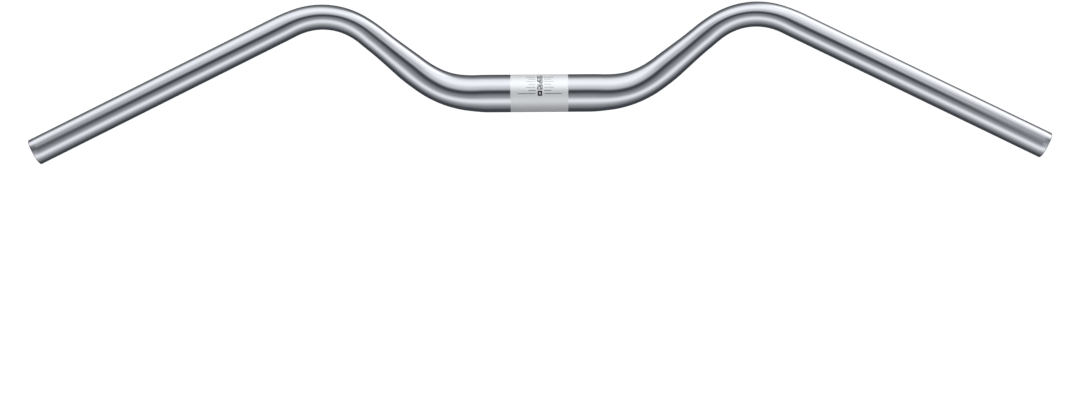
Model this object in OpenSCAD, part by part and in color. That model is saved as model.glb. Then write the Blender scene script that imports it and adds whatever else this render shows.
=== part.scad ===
// Swept-back handlebar for a city or touring bicycle: one bent and swaged aluminium tube.
// The origin is the middle of the stem clamp. X runs along the clamp to the rider's right,
// Y points forward and Z points up, so the grips sweep back towards -Y.

/* [Tube] */
// Outer diameter of the thick middle, which the stem clamps
clamp_d = 31.8; // [25.4:0.1:35]
// Outer diameter of the thin ends, which take the grips and levers
grip_d = 22.2; // [20:0.1:24]
// Wall thickness in the thick middle
clamp_wall = 2.6; // [1.6:0.1:4]
// Wall thickness in the thin ends
grip_wall = 2.0; // [1.2:0.1:3]
// Chamfer on the outer edge of each cut end
end_chamfer = 0.5; // [0.2:0.1:1]

/* [Bends] */
// Straight length between the two inner bends
middle_length = 102; // [90:1:110]
// Centreline radius of each inner bend
inner_bend_r = 83; // [60:1:120]
// Angle that each inner bend turns forward and up
inner_bend_angle = 40.3; // [20:0.1:55]
// Lean of the inner bends from forward towards up
inner_bend_lean = 16.8; // [0:0.1:60]
// Straight length between an inner and an outer bend
shoulder_length = 50.6; // [45:0.1:90]
// Centreline radius of each outer bend
outer_bend_r = 60.5; // [45:0.5:90]
// Backsweep of the straight ends
grip_sweep = 26.7; // [10:0.1:45]
// Upward slope of the straight ends
grip_rise = 3.3; // [-5:0.1:10]
// Straight length from an outer bend to the cut end
grip_length = 234.4; // [180:0.1:260]

/* [Taper and flattening] */
// Distance along the tube from its middle to the start of the taper
taper_start = 57; // [54:0.5:60]
// Distance along the tube from its middle to the end of the taper
taper_end = 142.5; // [130:0.5:150]
// Length over which each end of the taper is rounded off
taper_easing = 16; // [8:1:20]
// Share of the diameter that a bend loses in its own plane
bend_flattening = 0.06; // [0:0.002:0.1]
// Share of the diameter that a bend gains across its plane
bend_bulge = 0.02; // [0:0.001:0.04]
// Length over which each bend's flattening fades in or out
flattening_fade = 16; // [8:1:16]

/* [Smoothness] */
// Sides of the swept outer surface
outer_sides = 36; // [24:4:44]
// Sides of the swept bore
bore_sides = 24; // [16:4:28]
// Longest step along the swept lengths
sweep_step = 5; // [4.6:0.1:8]

/* [Hidden] */
$fn = 96;

// The swept lengths run this far into the straight ones, and sit this far inside their surface
seam_overlap = 1;
seam_inset = 0.02;

clamp_axis = [1, 0, 0];
forward = [0, 1, 0];
up = [0, 0, 1];

// Directions of the tube in the middle, on the shoulder and along the grip
inner_pull = turned(forward, clamp_axis, inner_bend_lean);
inner_hinge = cross(clamp_axis, inner_pull);
shoulder_axis = turned(clamp_axis, inner_hinge, inner_bend_angle);
grip_axis = [
    cos(grip_rise) * cos(grip_sweep),
    -cos(grip_rise) * sin(grip_sweep),
    sin(grip_rise)
];
outer_hinge = unit(cross(shoulder_axis, grip_axis));
outer_pull = cross(outer_hinge, shoulder_axis);
outer_bend_angle = acos(shoulder_axis * grip_axis);

// Distances along the tube, from its middle, at which each stretch ends
middle_end = middle_length / 2;
inner_bend_end = middle_end + inner_bend_r * inner_bend_angle * PI / 180;
shoulder_end = inner_bend_end + shoulder_length;
outer_bend_end = shoulder_end + outer_bend_r * outer_bend_angle * PI / 180;

// Points at which each stretch ends
middle_tip = middle_end * clamp_axis;
inner_bend_tip = middle_tip + arc(inner_bend_r, inner_bend_angle, clamp_axis, inner_pull);
shoulder_tip = inner_bend_tip + shoulder_length * shoulder_axis;
outer_bend_tip = shoulder_tip + arc(outer_bend_r, outer_bend_angle, shoulder_axis, outer_pull);

// The round clamp and grip lengths stop where the flattening starts
clamp_round_end = middle_end - flattening_fade / 2;
grip_round_start = outer_bend_end + flattening_fade / 2;
grip_round_tip = outer_bend_tip + flattening_fade / 2 * grip_axis;
grip_round_length = grip_length - flattening_fade / 2;

function unit(v) = v / norm(v);

// Vector v turned about a unit axis
function turned(v, axis, angle) =
    v * cos(angle) + cross(axis, v) * sin(angle) + axis * (axis * v) * (1 - cos(angle));

// Way along an arc that leaves in the direction heading and curves towards pull
function arc(r, angle, heading, pull) = r * (sin(angle) * heading + (1 - cos(angle)) * pull);

// Smooth step from 0 to 1, of the given width, centred on x = 0
function fade(x, width) =
    let (u = min(1, max(0, x / width + 0.5)))
    u * u * (3 - 2 * u);

// Part of the taper that is done at distance s: a straight ramp with parabolic ends
function ramp_area(x) = pow(max(0, x), 2) / 2;
function taper(s) =
    let (ease = taper_easing / 2, a = s - taper_start, b = s - taper_end)
    (ramp_area(a + ease) - ramp_area(a - ease) - ramp_area(b + ease) + ramp_area(b - ease))
        / (taper_easing * (taper_end - taper_start));

function outer_r(s) = (clamp_d + (grip_d - clamp_d) * taper(s)) / 2;
function wall(s) = clamp_wall + (grip_wall - clamp_wall) * taper(s);

// How far each bend's flattening has come in at distance s, from 0 to 1
function inner_flat(s) =
    fade(s - middle_end, flattening_fade) - fade(s - inner_bend_end, flattening_fade);
function outer_flat(s) =
    fade(s - shoulder_end, flattening_fade) - fade(s - outer_bend_end, flattening_fade);

// Degrees that the inner and the outer bend have turned at distance s
function inner_turn(s) =
    min(inner_bend_angle, max(0, (s - middle_end) / inner_bend_r * 180 / PI));
function outer_turn(s) =
    min(outer_bend_angle, max(0, (s - shoulder_end) / outer_bend_r * 180 / PI));

// Point on the centreline at distance s
function centre(s) =
    s <= middle_end ? s * clamp_axis :
    s <= inner_bend_end ? middle_tip + arc(inner_bend_r, inner_turn(s), clamp_axis, inner_pull) :
    s <= shoulder_end ? inner_bend_tip + (s - inner_bend_end) * shoulder_axis :
    s <= outer_bend_end ? shoulder_tip + arc(outer_bend_r, outer_turn(s), shoulder_axis, outer_pull) :
    outer_bend_tip + (s - outer_bend_end) * grip_axis;

// Direction v of the straight middle, carried along the tube to distance s
function carried(v, s) =
    turned(turned(v, inner_hinge, inner_turn(s)), outer_hinge, outer_turn(s));

// Offset q from the centreline after a bend with this hinge has flattened the tube by share f
function flattened(q, hinge, heading, f) =
    let (pull = cross(hinge, heading))
    q - f * bend_flattening * (q * pull) * pull + f * bend_bulge * (q * hinge) * hinge;

// Ring of points around the tube at distance s, inset from its outer surface
function ring(s, inset, sides) =
    let (heading = carried(clamp_axis, s), side = carried(forward, s), top = carried(up, s))
    [for (i = [0 : sides - 1])
        let (a = 360 * i / sides,
             q = outer_r(s) * (cos(a) * side + sin(a) * top),
             p = flattened(flattened(q, inner_hinge, heading, inner_flat(s)),
                           outer_hinge, heading, outer_flat(s)))
        centre(s) + p * (1 - inset / norm(p))
    ];

// Distances from a to b in equal steps, leaving out a
function steps(a, b) =
    let (n = ceil((b - a) / sweep_step))
    [for (i = [1 : n]) a + (b - a) * i / n];

// Every distance at which the swept lengths have a ring
stations = concat(
    [clamp_round_end - seam_overlap],
    steps(clamp_round_end - seam_overlap, middle_end),
    steps(middle_end, inner_bend_end),
    steps(inner_bend_end, shoulder_end),
    steps(shoulder_end, outer_bend_end),
    steps(outer_bend_end, grip_round_start + seam_overlap)
);

// Solid swept through both bends of the right half. The bore is the same sweep, further in.
module swept(bore, sides) {
    rings = [for (s = stations) ring(s, seam_inset + (bore ? wall(s) : 0), sides)];
    last = len(rings) - 1;
    sides_faces = [
        for (k = [0 : last - 1], i = [0 : sides - 1])
            let (j = (i + 1) % sides)
            [k * sides + i, (k + 1) * sides + i, (k + 1) * sides + j, k * sides + j]
    ];
    start_face = [for (i = [0 : sides - 1]) i];
    end_face = [for (i = [1 : sides]) (last + 1) * sides - i];
    polyhedron([for (r = rings) each r], concat([start_face, end_face], sides_faces), 4);
}

// Moves its children to the inner end of the right grip, with their Z along the grip
module on_grip() {
    translate(grip_round_tip) rotate([0, 90 - grip_rise, -grip_sweep]) children();
}

module clamp_length(r, length) {
    rotate([0, 90, 0]) cylinder(r = r, h = length, center = true);
}

// Straight end of the tube with its outer edge broken
module grip_outside() {
    rotate_extrude() polygon([
        [0, 0],
        [grip_d / 2, 0],
        [grip_d / 2, grip_round_length - end_chamfer],
        [grip_d / 2 - end_chamfer, grip_round_length],
        [0, grip_round_length]
    ]);
}

// Bore of the straight end, open at the cut
module grip_bore() {
    cylinder(d = grip_d - 2 * grip_wall, h = grip_round_length + seam_overlap);
}

module both_sides() {
    children();
    mirror([1, 0, 0]) children();
}

// The whole bar: clamp length, two tapered double bends and two straight grip lengths
module handlebar() {
    color("silver")
    difference() {
        union() {
            clamp_length(clamp_d / 2, 2 * clamp_round_end);
            both_sides() {
                swept(false, outer_sides);
                on_grip() grip_outside();
            }
        }
        union() {
            clamp_length(clamp_d / 2 - clamp_wall, 2 * clamp_round_end);
            both_sides() {
                swept(true, bore_sides);
                on_grip() grip_bore();
            }
        }
    }
}

handlebar();
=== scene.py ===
import math

import bmesh
import bpy
import numpy as np
from mathutils import Matrix, Vector


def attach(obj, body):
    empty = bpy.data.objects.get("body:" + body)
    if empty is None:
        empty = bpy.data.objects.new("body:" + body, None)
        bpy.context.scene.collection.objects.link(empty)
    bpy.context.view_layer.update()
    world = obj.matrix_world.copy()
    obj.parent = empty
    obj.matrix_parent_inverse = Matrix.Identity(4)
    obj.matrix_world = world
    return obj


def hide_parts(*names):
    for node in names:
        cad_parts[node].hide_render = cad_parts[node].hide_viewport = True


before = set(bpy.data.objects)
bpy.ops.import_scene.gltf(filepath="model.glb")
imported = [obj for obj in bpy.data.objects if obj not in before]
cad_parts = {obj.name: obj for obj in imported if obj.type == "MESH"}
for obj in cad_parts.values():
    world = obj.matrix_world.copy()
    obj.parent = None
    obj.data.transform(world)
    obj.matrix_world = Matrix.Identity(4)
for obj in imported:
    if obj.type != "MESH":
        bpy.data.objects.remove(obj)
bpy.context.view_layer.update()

MM = 0.001

# The tube's driving dimensions
CLAMP_D = 31.8 * MM
GRIP_D = 22.2 * MM
CLAMP_WALL = 2.6 * MM
GRIP_WALL = 2.0 * MM
END_CHAMFER = 0.5 * MM
MIDDLE_LENGTH = 102 * MM
INNER_BEND_R = 83 * MM
INNER_BEND_ANGLE = math.radians(40.3)
INNER_BEND_LEAN = math.radians(16.8)
SHOULDER_LENGTH = 50.6 * MM
OUTER_BEND_R = 60.5 * MM
GRIP_SWEEP = math.radians(26.7)
GRIP_RISE = math.radians(3.3)
GRIP_LENGTH = 234.4 * MM
TAPER_START = 57 * MM
TAPER_END = 142.5 * MM
TAPER_EASING = 16 * MM
BEND_FLATTENING = 0.06
BEND_BULGE = 0.02
BEND_CREST_LEAN = 0.08
FLATTENING_FADE = 16 * MM
INSIDE_FADE = 40 * MM
INSIDE_DELAY = 12 * MM

# How finely the skin is built
TUBE_SIDES = 96
BEND_STEP = 1.5 * MM
STRAIGHT_STEP = 5 * MM
BORE_STEP = 4 * MM
INNER_CHAMFER = 0.2 * MM
LIP_ROUND = 0.12 * MM
SMOOTH_ANGLE = math.radians(20)

# Blasted band and the scale etched on it
CLAMP_R = CLAMP_D / 2
BAND_LENGTH = 48.5 * MM
BAND_MIDDLE = -0.25 * MM
BAND_DEPTH = 0.06 * MM
BAND_BITE = 0.02 * MM
BAND_EDGE = 0.2 * MM
BAND_LEFT = BAND_MIDDLE - BAND_LENGTH / 2
BAND_RIGHT = BAND_MIDDLE + BAND_LENGTH / 2
BAND_SIDES = 192
MARK_RISE = 0.02 * MM
MARK_DEPTH = 0.04 * MM
SCALE_MIDDLE = 0.25 * MM
SCALE_ZERO = math.radians(-4.6)
SCALE_STEP = math.radians(9.75)
SCALE_TICKS = 6
SCALE_NUMBERS = (0, 20, 40, 60)
DEGREES_PER_TICK = 10
TICK_INNER = 3.6 * MM
TICK_WIDTH = 0.52 * MM
ZERO_TICK_OUTER = 18.6 * MM
EVEN_TICK_OUTER = 11.6 * MM
ODD_TICK_OUTER = 9.6 * MM
NUMBER_HEIGHT = 4.4 * MM
NUMBER_WIDTH = 4.4 * MM
ZERO_WIDTH = 3.7 * MM
NUMBER_OFFSET = math.radians(1)
NUMBER_GAP = 0.3 * MM
# A digit's stroke as a share of its width, and its rounding as a share of the stroke
STROKE_SHARE = 0.34
ROUND_SHARE = 0.45
CORNER_STEPS = 4
CUT_TOLERANCE = 1e-9

# Finishes. Grain is in waves per metre, tones run from dark to pale, relief is strength and depth.
POLISH_LINES = (30, 3000, 3000)
POLISH_WAVES = (14, 40, 40)
POLISH_TONES = ((0.772, 0.79, 0.84), (0.797, 0.815, 0.865))
POLISH_ROUGHNESS = (0.08, 0.13)
POLISH_DRIFT = (-0.012, 0.012)
POLISH_RELIEF = (0.03, 0.05 * MM)
BORE_METALLIC = 0.5
BORE_DULLNESS = 0.35
BLASTED_GRAIN = 3500
BLASTED_PATCHES = 120
BLASTED_METALLIC = 0.47
BLASTED_TONES = ((0.855, 0.877, 0.905), (0.955, 0.975, 1.0))
BLASTED_ROUGHNESS = (0.36, 0.44)
BLASTED_DRIFT = (-0.02, 0.02)
BLASTED_RELIEF = (0.25, 0.05 * MM)
ETCHED_GRAIN = 4000
ETCHED_RELIEF = (0.2, 0.02 * MM)
LINE_METALLIC = 1.0
LINE_TONES = ((0.44, 0.445, 0.46), (0.56, 0.567, 0.58))
LINE_ROUGHNESS = (0.14, 0.22)
NUMBER_METALLIC = 0.5
NUMBER_TONES = ((0.04, 0.041, 0.045), (0.08, 0.082, 0.088))
NUMBER_ROUGHNESS = (0.26, 0.36)
# Part of the noise's range that is spread over a finish, and how rich the fine noise is
LINES_SPAN = (0.25, 0.75)
GRAIN_SPAN = (0.3, 0.7)
FINE_DETAIL = 3.0
GRAIN_HARSHNESS = 0.6

# Camera, straight above the bar
PHOTO_W = 1080
PHOTO_H = 410
SENSOR = 36
CAMERA_DISTANCE = 1.5015
FOCAL_PX = 1774.8
CLAMP_AT_PX = (539.64, 93.26)
CAMERA_YAW = math.radians(-0.116)
CAMERA_ROLL = math.radians(0.395)
CAMERA_NEAR = 0.01
CAMERA_FAR = 100

# The studio. Angles are in degrees round the bar: 0 overhead, 90 ahead, -90 on the rider's side.
WHITE = (1, 1, 1, 1)
FLOOR_Z = -0.5
FLOOR_SIZE = 16
FLOOR_TONE = (0.9, 0.9, 0.9, 1)
FLOOR_ROUGHNESS = 0.9
FLOOR_GLOW = 0.3
SUN_LEVEL = 0.6
SKY_LEVEL = 0.46
SUN_LEAN = math.radians(50)
SUN_SOFTNESS = math.radians(50)
TENT_R = 1.6
TENT_GAP = 0.01
TENT_SEGMENTS = 64
TENT_RINGS = 48
TENT_FILL = (0.0545, 0.0612, 0.070)
# Each soft panel: level, where it starts, is full, starts to fade, and ends
AHEAD_WASH = (0.57, 8, 28, 20, 162)
AHEAD_CORE = (0.61, 23, 63, 78, 116)
RIDER_WASH = (0.26, -127, -79, -24, 5)
RIDER_CORE = (0.92, -92, -33, -59, -21)
# Light from beyond the bar's two ends
END_GLOW = (1.0, 75, 91, 85, 148)
END_GLOW_RIGHT = 1.1
END_GLOW_LEFT = 0.18
END_GLOW_FROM = 0.05
END_GLOW_TO = 1.06
GAP_GLOW = (1.0, -50, 0, 0, 40)
GAP_GLOW_RIGHT = 0.25
GAP_GLOW_LEFT = 0.08
GAP_GLOW_FROM = 0.42
GAP_GLOW_TO = 0.7
# The overhead part of the wash ahead fades out towards both ends
WASH_FADE_FROM = 0.39
WASH_FADE_TO = 1.45
WASH_FADE_ANGLES = (40, 80)

X_AXIS = np.array([1.0, 0.0, 0.0])
Y_AXIS = np.array([0.0, 1.0, 0.0])
Z_AXIS = np.array([0.0, 0.0, 1.0])


def unit(v):
    return v / np.linalg.norm(v)


def turned(v, axis, angle):
    c = math.cos(angle)
    s = math.sin(angle)
    return v * c + np.cross(axis, v) * s + axis * (axis @ v) * (1 - c)


def arc(r, angle, heading, pull):
    return r * (math.sin(angle) * heading + (1 - math.cos(angle)) * pull)


INNER_PULL = turned(Y_AXIS, X_AXIS, INNER_BEND_LEAN)
INNER_HINGE = np.cross(X_AXIS, INNER_PULL)
SHOULDER_AXIS = turned(X_AXIS, INNER_HINGE, INNER_BEND_ANGLE)
GRIP_AXIS = turned(turned(X_AXIS, Y_AXIS, -GRIP_RISE), Z_AXIS, -GRIP_SWEEP)
OUTER_HINGE = unit(np.cross(SHOULDER_AXIS, GRIP_AXIS))
OUTER_PULL = np.cross(OUTER_HINGE, SHOULDER_AXIS)
OUTER_BEND_ANGLE = math.acos(SHOULDER_AXIS @ GRIP_AXIS)

# Distances along the tube, from its middle, at which each stretch ends
MIDDLE_END = MIDDLE_LENGTH / 2
INNER_BEND_END = MIDDLE_END + INNER_BEND_R * INNER_BEND_ANGLE
SHOULDER_END = INNER_BEND_END + SHOULDER_LENGTH
OUTER_BEND_END = SHOULDER_END + OUTER_BEND_R * OUTER_BEND_ANGLE
TUBE_END = OUTER_BEND_END + GRIP_LENGTH

MIDDLE_TIP = MIDDLE_END * X_AXIS
INNER_BEND_TIP = MIDDLE_TIP + arc(INNER_BEND_R, INNER_BEND_ANGLE, X_AXIS, INNER_PULL)
SHOULDER_TIP = INNER_BEND_TIP + SHOULDER_LENGTH * SHOULDER_AXIS
OUTER_BEND_TIP = SHOULDER_TIP + arc(OUTER_BEND_R, OUTER_BEND_ANGLE, SHOULDER_AXIS, OUTER_PULL)


def fade(x, width):
    u = min(1.0, max(0.0, x / width + 0.5))
    return u * u * (3 - 2 * u)


def ramp_area(x):
    return max(0.0, x) ** 2 / 2


def taper(s):
    ease = TAPER_EASING / 2
    a = s - TAPER_START
    b = s - TAPER_END
    area = ramp_area(a + ease) - ramp_area(a - ease) - ramp_area(b + ease) + ramp_area(b - ease)
    return area / (TAPER_EASING * (TAPER_END - TAPER_START))


def outer_r(s):
    return (CLAMP_D + (GRIP_D - CLAMP_D) * taper(s)) / 2


def wall(s):
    return CLAMP_WALL + (GRIP_WALL - CLAMP_WALL) * taper(s)


def inner_turn(s):
    return min(INNER_BEND_ANGLE, max(0.0, (s - MIDDLE_END) / INNER_BEND_R))


def outer_turn(s):
    return min(OUTER_BEND_ANGLE, max(0.0, (s - SHOULDER_END) / OUTER_BEND_R))


def centre(s):
    if s <= MIDDLE_END:
        return s * X_AXIS
    if s <= INNER_BEND_END:
        return MIDDLE_TIP + arc(INNER_BEND_R, inner_turn(s), X_AXIS, INNER_PULL)
    if s <= SHOULDER_END:
        return INNER_BEND_TIP + (s - INNER_BEND_END) * SHOULDER_AXIS
    if s <= OUTER_BEND_END:
        return SHOULDER_TIP + arc(OUTER_BEND_R, outer_turn(s), SHOULDER_AXIS, OUTER_PULL)
    return OUTER_BEND_TIP + (s - OUTER_BEND_END) * GRIP_AXIS


def carried(v, s):
    return turned(turned(v, INNER_HINGE, inner_turn(s)), OUTER_HINGE, outer_turn(s))


def bend_share(d, start, end, length, delay):
    """How far a bend's flattening has come in at distance d, from 0 to 1."""
    return fade(d - start - delay, length) - fade(d - end + delay, length)


def bent(q, d, start, end, hinge, heading):
    """Section after a bend: flatter in the bend's plane, wider across it, its crest leant outwards.

    The outside of the bend flattens at once and the inside more slowly.
    """
    outside = bend_share(d, start, end, FLATTENING_FADE, 0)
    inside = bend_share(d, start, end, INSIDE_FADE, INSIDE_DELAY)
    pull = np.cross(hinge, heading)
    inward = q @ pull
    across = q @ hinge
    flattening = BEND_FLATTENING * inward * np.where(inward < 0, outside, inside)
    lean = BEND_CREST_LEAN * inside * across ** 2 / np.linalg.norm(q[0])
    return q - np.outer(flattening + lean, pull) + np.outer(BEND_BULGE * inside * across, hinge)


def ring(s, inset):
    """Points around the tube at distance s from its middle, inset from its outer surface."""
    d = abs(s)
    heading = carried(X_AXIS, d)
    a = np.arange(TUBE_SIDES) * 2 * math.pi / TUBE_SIDES
    q = np.outer(np.cos(a), carried(Y_AXIS, d)) + np.outer(np.sin(a), carried(Z_AXIS, d))
    p = bent(outer_r(d) * q, d, MIDDLE_END, INNER_BEND_END, INNER_HINGE, heading)
    p = bent(p, d, SHOULDER_END, OUTER_BEND_END, OUTER_HINGE, heading)
    p *= 1 - inset / np.linalg.norm(p, axis=1, keepdims=True)
    points = centre(d) + p
    if s < 0:
        points[:, 0] *= -1
    return points


def steps(a, b, step):
    """Distances from a to b in equal steps, leaving out a."""
    n = max(1, math.ceil(abs(b - a) / step))
    return [a + (b - a) * i / n for i in range(1, n + 1)]


def outer_stations():
    """Distance and inset of every ring of the right half's outer skin, from the band outwards."""
    half_fade = FLATTENING_FADE / 2
    stations = steps(BAND_LENGTH / 2, MIDDLE_END - half_fade, STRAIGHT_STEP)
    stations += steps(MIDDLE_END - half_fade, OUTER_BEND_END + half_fade, BEND_STEP)
    stations += steps(OUTER_BEND_END + half_fade, TUBE_END - END_CHAMFER - LIP_ROUND, STRAIGHT_STEP)
    return [(s, 0.0) for s in stations]


def lip_stations():
    """Rings over the cut end: chamfer, annular face and broken inner edge."""
    ease = LIP_ROUND / 3
    return [
        (TUBE_END - END_CHAMFER, ease),
        (TUBE_END - ease, END_CHAMFER - ease),
        (TUBE_END, END_CHAMFER + ease),
        (TUBE_END, GRIP_WALL - INNER_CHAMFER),
        (TUBE_END - INNER_CHAMFER, GRIP_WALL),
    ]


def bore_stations():
    """Rings of the right half's bore, from the cut end back to the middle."""
    return [(s, wall(s)) for s in steps(TUBE_END - INNER_CHAMFER, 0, BORE_STEP)]


def band_recess():
    """Rings of the shallow seat that the blasted band fills."""
    return [(BAND_LEFT, 0.0), (BAND_LEFT, BAND_DEPTH), (BAND_RIGHT, BAND_DEPTH), (BAND_RIGHT, 0.0)]


def tube_profile():
    """Every ring of the closed skin: outside from left to right, then back through the bore."""
    right = outer_stations() + lip_stations()
    left = [(-s, inset) for s, inset in reversed(right)]
    bore = bore_stations()
    bore_left = [(-s, inset) for s, inset in reversed(bore[:-1])]
    return left + band_recess() + right + bore + bore_left


def link(name, data):
    piece = bpy.data.objects.new(name, data)
    bpy.context.scene.collection.objects.link(piece)
    return piece


def mesh_from_points(name, points, faces):
    mesh = bpy.data.meshes.new(name)
    mesh.from_pydata(points, [], faces)
    mesh.update()
    return mesh


def mesh_from_bm(name, bm):
    mesh = bpy.data.meshes.new(name)
    bm.to_mesh(mesh)
    bm.free()
    return mesh


def ring_faces(count, sides):
    """Quads between neighbouring rings, the last of which joins the first."""
    faces = []
    for k in range(count):
        m = (k + 1) % count
        for i in range(sides):
            j = (i + 1) % sides
            faces.append((k * sides + i, k * sides + j, m * sides + j, m * sides + i))
    return faces


def smooth(mesh):
    mesh.polygons.foreach_set("use_smooth", [True] * len(mesh.polygons))
    mesh.set_sharp_from_angle(angle=SMOOTH_ANGLE)


def build_tube():
    profile = tube_profile()
    points = np.concatenate([ring(s, inset) for s, inset in profile])
    mesh = mesh_from_points("handlebar_tube", points.tolist(), ring_faces(len(profile), TUBE_SIDES))
    add_finish_data(mesh, profile)
    smooth(mesh)
    return link("handlebar_tube", mesh)


def add_finish_data(mesh, profile):
    """For the finish: each point's place on the tube unbent, and whether it is in the bore."""
    a = np.arange(TUBE_SIDES) * 2 * math.pi / TUBE_SIDES
    rest = []
    for s, inset in profile:
        r = outer_r(abs(s)) - inset
        rest.append(np.column_stack([np.full(TUBE_SIDES, s), r * np.cos(a), r * np.sin(a)]))
    straightened = mesh.attributes.new("straightened", "FLOAT_VECTOR", "POINT")
    straightened.data.foreach_set("vector", np.concatenate(rest).ravel())
    in_bore = [float(inset > wall(abs(s)) - INNER_CHAMFER / 2) for s, inset in profile]
    bore = mesh.attributes.new("bore", "FLOAT", "POINT")
    bore.data.foreach_set("value", np.repeat(in_bore, TUBE_SIDES))


def lathe_x(name, outline, sides):
    """Closed ring around the X axis, from an outline of (x, radius) points."""
    points = []
    for x, r in outline:
        for i in range(sides):
            a = 2 * math.pi * i / sides
            points.append((x, r * math.cos(a), r * math.sin(a)))
    mesh = mesh_from_points(name, points, ring_faces(len(outline), sides))
    smooth(mesh)
    return link(name, mesh)


def build_band():
    """Flush band whose edges and underside bite a little into the seat."""
    seat = CLAMP_R - BAND_DEPTH - BAND_BITE
    shoulder = CLAMP_R - BAND_DEPTH / 2
    outline = [
        (BAND_LEFT - BAND_BITE, seat),
        (BAND_LEFT - BAND_BITE, shoulder),
        (BAND_LEFT + BAND_EDGE, CLAMP_R),
        (BAND_RIGHT - BAND_EDGE, CLAMP_R),
        (BAND_RIGHT + BAND_BITE, shoulder),
        (BAND_RIGHT + BAND_BITE, seat),
    ]
    return lathe_x("clamp_band", outline, BAND_SIDES)


def wrapped(x, along, rise):
    """Point of a flat drawing wrapped onto the clamp. Along runs from the top towards the front."""
    r = CLAMP_R + rise
    angle = along / CLAMP_R
    return (x, r * math.sin(angle), r * math.cos(angle))


def slice_across(bm, low, high, step):
    """Cuts a flat drawing into narrow rows, so that it follows the clamp's surface."""
    rows = math.ceil((high - low) / step)
    for i in range(1, rows):
        everything = bm.verts[:] + bm.edges[:] + bm.faces[:]
        at = (0, low + (high - low) * i / rows, 0)
        bmesh.ops.bisect_plane(
            bm, geom=everything, plane_co=at, plane_no=(0, 1, 0), dist=CUT_TOLERANCE
        )


def add_block(bm, x0, x1, y0, y1):
    """Thin flat block between two heights, ready to be wrapped."""
    corners = [(x0, y0), (x1, y0), (x1, y1), (x0, y1)]
    low = [bm.verts.new((x, y, -MARK_DEPTH)) for x, y in corners]
    high = [bm.verts.new((x, y, MARK_RISE)) for x, y in corners]
    bm.faces.new(list(reversed(low)))
    bm.faces.new(high)
    for i in range(4):
        j = (i + 1) % 4
        bm.faces.new((low[i], low[j], high[j], high[i]))


def tick_outer(i):
    if i == 0:
        return ZERO_TICK_OUTER
    return EVEN_TICK_OUTER if i % 2 == 0 else ODD_TICK_OUTER


def wrap_mesh(name, bm):
    for v in bm.verts:
        v.co = wrapped(v.co.x + SCALE_MIDDLE, v.co.y, v.co.z)
    bm.normal_update()
    return link(name, mesh_from_bm(name, bm))


def build_ticks():
    bm = bmesh.new()
    for i in range(SCALE_TICKS + 1):
        middle = (SCALE_ZERO + i * SCALE_STEP) * CLAMP_R
        low = middle - TICK_WIDTH / 2
        high = middle + TICK_WIDTH / 2
        add_block(bm, TICK_INNER, tick_outer(i), low, high)
        add_block(bm, -tick_outer(i), -TICK_INNER, low, high)
    return wrap_mesh("scale_ticks", bm)


def digit_outlines(digit, width, stroke):
    """Corners of a block 0, 2, 4 or 6 and of its counter, from its lower left corner."""
    inner = width - stroke
    top = NUMBER_HEIGHT - stroke
    low = top / 2
    high = low + stroke
    if digit == "0":
        return [
            [(0, 0), (width, 0), (width, NUMBER_HEIGHT), (0, NUMBER_HEIGHT)],
            [(stroke, stroke), (inner, stroke), (inner, top), (stroke, top)],
        ]
    if digit == "2":
        foot = [(0, 0), (width, 0), (width, stroke)]
        lower_half = foot + [(stroke, stroke), (stroke, low), (width, low)]
        return [lower_half + [(width - x, NUMBER_HEIGHT - y) for x, y in lower_half]]
    if digit == "4":
        bar = [(inner, high), (stroke, high)]
        left_arm = [(stroke, NUMBER_HEIGHT), (0, NUMBER_HEIGHT), (0, low)]
        stem = [(inner, low), (inner, 0), (width, 0)]
        stem_top = [(width, NUMBER_HEIGHT), (inner, NUMBER_HEIGHT)]
        return [bar + left_arm + stem + stem_top]
    bowl = [(0, 0), (width, 0), (width, high), (stroke, high)]
    arm = [(stroke, top), (width, top), (width, NUMBER_HEIGHT), (0, NUMBER_HEIGHT)]
    return [bowl + arm, [(stroke, stroke), (inner, stroke), (inner, low), (stroke, low)]]


def rounded(corners, radius):
    """Outline with every corner rounded off."""
    outline = []
    for i, corner in enumerate(corners):
        here = Vector(corner)
        back = (Vector(corners[i - 1]) - here).normalized() * radius
        onward = (Vector(corners[(i + 1) % len(corners)]) - here).normalized() * radius
        for k in range(CORNER_STEPS + 1):
            t = k / CORNER_STEPS
            outline.append(here + back * (1 - t) ** 2 + onward * t ** 2)
    return outline


def add_digit(bm, digit, x0, y0, width):
    """Flat block digit, filled in between its outlines."""
    stroke = STROKE_SHARE * width
    edges = []
    for corners in digit_outlines(digit, width, stroke):
        outline = rounded(corners, ROUND_SHARE * stroke)
        verts = [bm.verts.new((x0 + p.x, y0 + p.y, -MARK_DEPTH)) for p in outline]
        edges += [bm.edges.new((verts[i - 1], verts[i])) for i in range(len(verts))]
    bmesh.ops.triangle_fill(bm, edges=edges, use_beauty=True, normal=(0, 0, 1))


def build_number(value):
    """Block digits that give a tick's degrees."""
    text = str(value)
    tick = value // DEGREES_PER_TICK
    width = ZERO_WIDTH if value == 0 else NUMBER_WIDTH
    pitch = (width + NUMBER_GAP) / len(text)
    middle = (SCALE_ZERO + tick * SCALE_STEP + NUMBER_OFFSET) * CLAMP_R
    base = middle - NUMBER_HEIGHT / 2
    bm = bmesh.new()
    for i, digit in enumerate(text):
        add_digit(bm, digit, i * pitch - width / 2, base, pitch - NUMBER_GAP)
    grown = bmesh.ops.extrude_face_region(bm, geom=bm.faces[:], use_keep_orig=True)
    raised = [part for part in grown["geom"] if isinstance(part, bmesh.types.BMVert)]
    bmesh.ops.translate(bm, verts=raised, vec=(0, 0, MARK_RISE + MARK_DEPTH))
    bmesh.ops.recalc_face_normals(bm, faces=bm.faces)
    slice_across(bm, base, base + NUMBER_HEIGHT, TICK_WIDTH)
    return wrap_mesh("scale_number_%d" % value, bm)


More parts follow.
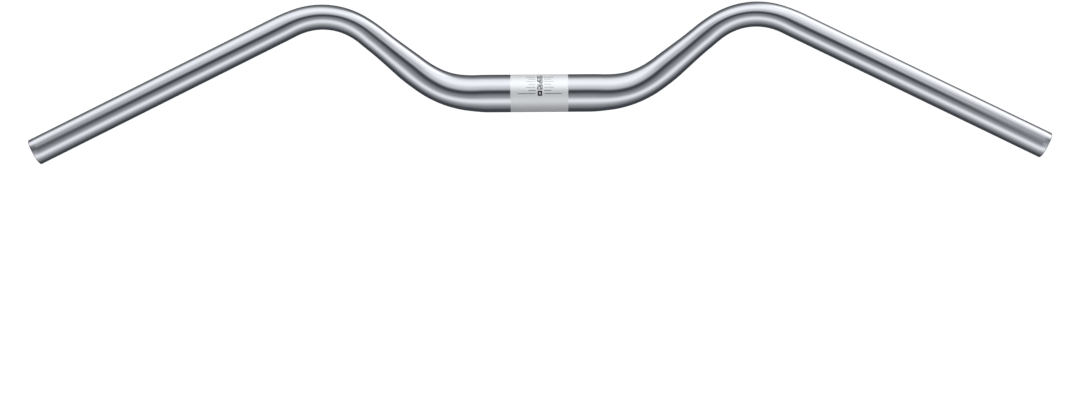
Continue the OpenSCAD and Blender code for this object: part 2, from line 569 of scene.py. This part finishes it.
def new_material(name):
    material = bpy.data.materials.new(name)
    material.use_nodes = True
    nodes = material.node_tree.nodes
    nodes.clear()
    out = nodes.new("ShaderNodeOutputMaterial")
    shader = nodes.new("ShaderNodeBsdfPrincipled")
    material.node_tree.links.new(shader.outputs[0], out.inputs["Surface"])
    return material, nodes, material.node_tree.links, shader


def noise(nodes, links, vector, scale=1.0, detail=2.0, roughness=0.5):
    node = nodes.new("ShaderNodeTexNoise")
    node.inputs["Scale"].default_value = scale
    node.inputs["Detail"].default_value = detail
    node.inputs["Roughness"].default_value = roughness
    links.new(vector, node.inputs["Vector"])
    return node.outputs["Fac"]


def attribute(nodes, name):
    node = nodes.new("ShaderNodeAttribute")
    node.attribute_name = name
    return node


def stretched(nodes, links, vector, scale):
    node = nodes.new("ShaderNodeMapping")
    node.inputs["Scale"].default_value = scale
    links.new(vector, node.inputs["Vector"])
    return node.outputs["Vector"]


def ranged(nodes, links, value, low, high, out_low, out_high, smooth_step=False):
    node = nodes.new("ShaderNodeMapRange")
    if smooth_step:
        node.interpolation_type = "SMOOTHSTEP"
    node.inputs["From Min"].default_value = low
    node.inputs["From Max"].default_value = high
    node.inputs["To Min"].default_value = out_low
    node.inputs["To Max"].default_value = out_high
    links.new(value, node.inputs["Value"])
    return node.outputs["Result"]


def math_node(nodes, links, operation, a, b):
    node = nodes.new("ShaderNodeMath")
    node.operation = operation
    for i, v in enumerate((a, b)):
        if isinstance(v, (int, float)):
            node.inputs[i].default_value = v
        else:
            links.new(v, node.inputs[i])
    return node.outputs[0]


def sum_of(nodes, links, levels):
    total = levels[0]
    for level in levels[1:]:
        total = math_node(nodes, links, "ADD", total, level)
    return total


def mixed(nodes, links, factor, a, b):
    node = nodes.new("ShaderNodeMix")
    node.data_type = "RGBA"
    node.inputs["A"].default_value = (*a, 1)
    node.inputs["B"].default_value = (*b, 1)
    links.new(factor, node.inputs["Factor"])
    return node.outputs["Result"]


def bump(nodes, links, height, strength, distance):
    node = nodes.new("ShaderNodeBump")
    node.inputs["Strength"].default_value = strength
    node.inputs["Distance"].default_value = distance
    links.new(height, node.inputs["Height"])
    return node.outputs["Normal"]


def polished_material():
    """Polished tube: fine lengthwise lines, slow waves of gloss and tone, and a duller bore."""
    material, nodes, links, shader = new_material("polished_tube")
    place = attribute(nodes, "straightened").outputs["Vector"]
    lines = noise(nodes, links, stretched(nodes, links, place, POLISH_LINES), detail=FINE_DETAIL)
    waves = noise(nodes, links, stretched(nodes, links, place, POLISH_WAVES))
    in_bore = attribute(nodes, "bore").outputs["Fac"]
    links.new(ranged(nodes, links, in_bore, 0, 1, 1.0, BORE_METALLIC), shader.inputs["Metallic"])
    links.new(mixed(nodes, links, waves, *POLISH_TONES), shader.inputs["Base Color"])
    fine = ranged(nodes, links, lines, *LINES_SPAN, *POLISH_ROUGHNESS)
    slow = ranged(nodes, links, waves, *GRAIN_SPAN, *POLISH_DRIFT)
    dull = ranged(nodes, links, in_bore, 0, 1, 0.0, BORE_DULLNESS)
    links.new(sum_of(nodes, links, [fine, slow, dull]), shader.inputs["Roughness"])
    links.new(bump(nodes, links, lines, *POLISH_RELIEF), shader.inputs["Normal"])
    return material


def blasted_material():
    """Glass-blasted clamp band: fine grain in tone, gloss and relief."""
    material, nodes, links, shader = new_material("blasted_band")
    place = nodes.new("ShaderNodeTexCoord").outputs["Object"]
    grain = noise(nodes, links, place, BLASTED_GRAIN, FINE_DETAIL, GRAIN_HARSHNESS)
    patches = noise(nodes, links, place, BLASTED_PATCHES)
    shader.inputs["Metallic"].default_value = BLASTED_METALLIC
    links.new(mixed(nodes, links, grain, *BLASTED_TONES), shader.inputs["Base Color"])
    fine = ranged(nodes, links, grain, *GRAIN_SPAN, *BLASTED_ROUGHNESS)
    slow = ranged(nodes, links, patches, *GRAIN_SPAN, *BLASTED_DRIFT)
    links.new(sum_of(nodes, links, [fine, slow]), shader.inputs["Roughness"])
    links.new(bump(nodes, links, grain, *BLASTED_RELIEF), shader.inputs["Normal"])
    return material


def etched_material(name, metallic, tones, roughness):
    """Etched mark, a little uneven in tone, gloss and relief."""
    material, nodes, links, shader = new_material(name)
    place = nodes.new("ShaderNodeTexCoord").outputs["Object"]
    grain = noise(nodes, links, place, ETCHED_GRAIN)
    shader.inputs["Metallic"].default_value = metallic
    links.new(mixed(nodes, links, grain, *tones), shader.inputs["Base Color"])
    links.new(ranged(nodes, links, grain, *GRAIN_SPAN, *roughness), shader.inputs["Roughness"])
    links.new(bump(nodes, links, grain, *ETCHED_RELIEF), shader.inputs["Normal"])
    return material


def mount(piece, material):
    piece.data.materials.append(material)
    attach(piece, "root")
    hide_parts("handlebar")


def seen_directly(nodes, links):
    """1 on camera, glossy and transmission rays, and 0 on the rays that light things."""
    rays = nodes.new("ShaderNodeLightPath").outputs
    seen = math_node(nodes, links, "MAXIMUM", rays["Is Camera Ray"], rays["Is Glossy Ray"])
    return math_node(nodes, links, "MAXIMUM", seen, rays["Is Transmission Ray"])


def build_floor():
    half = FLOOR_SIZE / 2
    corners = [(-half, -half, 0), (half, -half, 0), (half, half, 0), (-half, half, 0)]
    mesh = mesh_from_points("floor", corners, [(0, 1, 2, 3)])
    floor = link("floor", mesh)
    floor.location.z = FLOOR_Z
    material, nodes, links, shader = new_material("floor_white")
    shader.inputs["Base Color"].default_value = FLOOR_TONE
    shader.inputs["Roughness"].default_value = FLOOR_ROUGHNESS
    shader.inputs["Specular IOR Level"].default_value = 0.0
    shader.inputs["Emission Color"].default_value = WHITE
    glow = math_node(nodes, links, "MULTIPLY", seen_directly(nodes, links), FLOOR_GLOW)
    links.new(glow, shader.inputs["Emission Strength"])
    mesh.materials.append(material)


def panel(nodes, links, angle, panel_of):
    """Soft-edged panel of light over a range of angles."""
    level, start, full, fading, end = panel_of
    rise = ranged(nodes, links, angle, start, full, 0.0, level, True)
    fall = ranged(nodes, links, angle, fading, end, 1.0, 0.0, True)
    return math_node(nodes, links, "MULTIPLY", rise, fall)


def towards_ends(nodes, links, x, start, full, right, left):
    """Level that grows along the tent towards its right and left ends."""
    on_right = ranged(nodes, links, x, start, full, 0.0, right, True)
    on_left = ranged(nodes, links, x, -start, -full, 0.0, left, True)
    return math_node(nodes, links, "ADD", on_right, on_left)


def tent_level(nodes, links):
    """Brightness of the tent at each place on it."""
    place = nodes.new("ShaderNodeNewGeometry").outputs["Position"]
    split = nodes.new("ShaderNodeSeparateXYZ")
    links.new(place, split.inputs[0])
    x = split.outputs["X"]
    radians = math_node(nodes, links, "ARCTAN2", split.outputs["Y"], split.outputs["Z"])
    angle = math_node(nodes, links, "DEGREES", radians, 0.0)
    off_end = towards_ends(nodes, links, x, WASH_FADE_FROM, WASH_FADE_TO, 1.0, 1.0)
    overhead = ranged(nodes, links, angle, *WASH_FADE_ANGLES, 1.0, 0.0, True)
    lost = math_node(nodes, links, "MULTIPLY", off_end, overhead)
    kept = math_node(nodes, links, "SUBTRACT", 1.0, lost)
    wash = math_node(nodes, links, "MULTIPLY", panel(nodes, links, angle, AHEAD_WASH), kept)
    ends = towards_ends(nodes, links, x, END_GLOW_FROM, END_GLOW_TO, END_GLOW_RIGHT, END_GLOW_LEFT)
    end_glow = math_node(nodes, links, "MULTIPLY", panel(nodes, links, angle, END_GLOW), ends)
    gaps = towards_ends(nodes, links, x, GAP_GLOW_FROM, GAP_GLOW_TO, GAP_GLOW_RIGHT, GAP_GLOW_LEFT)
    gap_glow = math_node(nodes, links, "MULTIPLY", panel(nodes, links, angle, GAP_GLOW), gaps)
    core = panel(nodes, links, angle, AHEAD_CORE)
    rider_wash = panel(nodes, links, angle, RIDER_WASH)
    rider_core = panel(nodes, links, angle, RIDER_CORE)
    return sum_of(nodes, links, [wash, core, rider_wash, rider_core, end_glow, gap_glow])


def tent_material():
    material = bpy.data.materials.new("tent_light")
    material.use_nodes = True
    material.cycles.emission_sampling = "NONE"
    nodes = material.node_tree.nodes
    links = material.node_tree.links
    nodes.clear()
    out = nodes.new("ShaderNodeOutputMaterial")
    add = nodes.new("ShaderNodeAddShader")
    fill = nodes.new("ShaderNodeEmission")
    fill.inputs["Color"].default_value = (*TENT_FILL, 1)
    panels = nodes.new("ShaderNodeEmission")
    panels.inputs["Color"].default_value = WHITE
    links.new(tent_level(nodes, links), panels.inputs["Strength"])
    links.new(fill.outputs[0], add.inputs[0])
    links.new(panels.outputs[0], add.inputs[1])
    links.new(add.outputs[0], out.inputs["Surface"])
    return material


def build_tent():
    """Closed light tent round the bar, just clear of the floor. Only reflections show it."""
    bm = bmesh.new()
    bmesh.ops.create_uvsphere(bm, u_segments=TENT_SEGMENTS, v_segments=TENT_RINGS, radius=TENT_R)
    for v in bm.verts:
        v.co.z = max(v.co.z, FLOOR_Z + TENT_GAP)
    bmesh.ops.reverse_faces(bm, faces=bm.faces)
    mesh = mesh_from_bm("light_tent", bm)
    mesh.materials.append(tent_material())
    tent = link("light_tent", mesh)
    tent.visible_camera = False
    tent.visible_diffuse = False
    tent.visible_transmission = False
    tent.visible_shadow = False


def build_sun():
    """Broad soft light from above and ahead, for floor and matt surfaces. Reflections don't show it."""
    light = bpy.data.lights.new("soft_sun", "SUN")
    light.energy = SUN_LEVEL * math.pi
    light.angle = SUN_SOFTNESS
    sun = link("soft_sun", light)
    sun.rotation_euler = (-SUN_LEAN, 0, 0)
    sun.visible_glossy = False


def build_world():
    world = bpy.data.worlds.new("studio")
    bpy.context.scene.world = world
    world.use_nodes = True
    nodes = world.node_tree.nodes
    links = world.node_tree.links
    nodes.clear()
    out = nodes.new("ShaderNodeOutputWorld")
    background = nodes.new("ShaderNodeBackground")
    background.inputs["Color"].default_value = WHITE
    level = math_node(nodes, links, "MAXIMUM", seen_directly(nodes, links), SKY_LEVEL)
    links.new(level, background.inputs["Strength"])
    links.new(background.outputs[0], out.inputs["Surface"])


def build_camera():
    data = bpy.data.cameras.new("camera")
    data.sensor_width = SENSOR
    data.lens = FOCAL_PX * SENSOR / PHOTO_W
    data.clip_start = CAMERA_NEAR
    data.clip_end = CAMERA_FAR
    camera = link("camera", data)
    turn = Matrix.Rotation(CAMERA_ROLL, 4, "Z") @ Matrix.Rotation(CAMERA_YAW, 4, "Y")
    across = (CLAMP_AT_PX[0] - PHOTO_W / 2) * CAMERA_DISTANCE / FOCAL_PX
    upward = (PHOTO_H / 2 - CLAMP_AT_PX[1]) * CAMERA_DISTANCE / FOCAL_PX
    to_camera = Matrix.Translation(Vector((across, upward, -CAMERA_DISTANCE))) @ turn
    camera.matrix_world = to_camera.inverted()
    bpy.context.scene.camera = camera


def build_handlebar():
    polished = polished_material()
    blasted = blasted_material()
    etched_line = etched_material("scale_lines", LINE_METALLIC, LINE_TONES, LINE_ROUGHNESS)
    etched_number = etched_material(
        "scale_numbers", NUMBER_METALLIC, NUMBER_TONES, NUMBER_ROUGHNESS
    )
    mount(build_tube(), polished)
    mount(build_band(), blasted)
    mount(build_ticks(), etched_line)
    for value in SCALE_NUMBERS:
        mount(build_number(value), etched_number)


build_handlebar()
build_camera()
build_floor()
build_tent()
build_sun()
build_world()
bpy.context.scene.view_settings.view_transform = "Standard"
